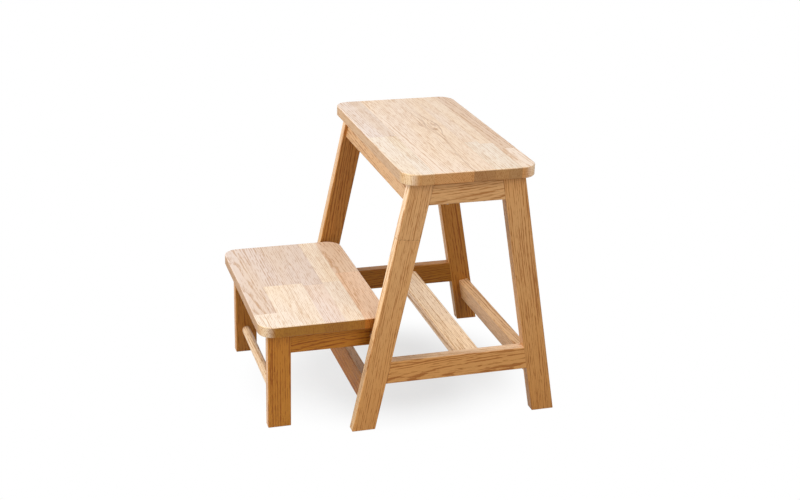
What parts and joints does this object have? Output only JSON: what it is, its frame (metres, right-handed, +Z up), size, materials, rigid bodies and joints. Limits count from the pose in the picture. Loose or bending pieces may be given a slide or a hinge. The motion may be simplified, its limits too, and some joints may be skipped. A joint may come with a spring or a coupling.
{
  "type": "folding step stool chair",
  "caption": "Solid wood stool with splayed legs and a lower step that swings up and over on a rod to fold away under the seat.",
  "frame": {"origin": "centre of the underside of the bounding box, on the floor midway between the front of the lower step and the rear feet", "axes": "+X across the stool, to the right of someone who faces the lower step; -Y towards the lower step; +Z up"},
  "size_m": [0.45, 0.5208, 0.46],
  "materials": {
    "oak_board": "oiled, edge-glued staves",
    "oak_bar": "oiled",
    "oak_round": "oiled, turned",
    "zinc_screw": "zinc plated"
  },
  "bodies": {
    "stool": {"front_apron": "oak_bar", "front_leg_left": "oak_bar", "front_leg_right": "oak_bar", "front_stretcher": "oak_bar", "middle_stretcher": "oak_bar", "rear_apron": "oak_bar", "rear_leg_left": "oak_bar", "rear_leg_right": "oak_bar", "rear_stretcher": "oak_bar", "seat": "oak_board", "seat_screws": "zinc_screw", "side_apron_left": "oak_bar", "side_apron_right": "oak_bar", "side_stretcher_left": "oak_bar", "side_stretcher_right": "oak_bar"},
    "step": {"pivot_rod": "oak_round", "pivot_spacers": "oak_round", "step_foot_bar": "oak_round", "step_leg_left": "oak_bar", "step_leg_right": "oak_bar", "step_rail_left": "oak_bar", "step_rail_right": "oak_bar", "step_tread": "oak_board", "tread_screws": "zinc_screw"}
  },
  "joints": [
    {"name": "step_fold", "type": "hinge", "parent": "stool", "child": "step", "pos_m": [0, -0.05625, 0.156], "axis": [-1, 0, 0], "range_deg": [0, 180]}
  ]
}
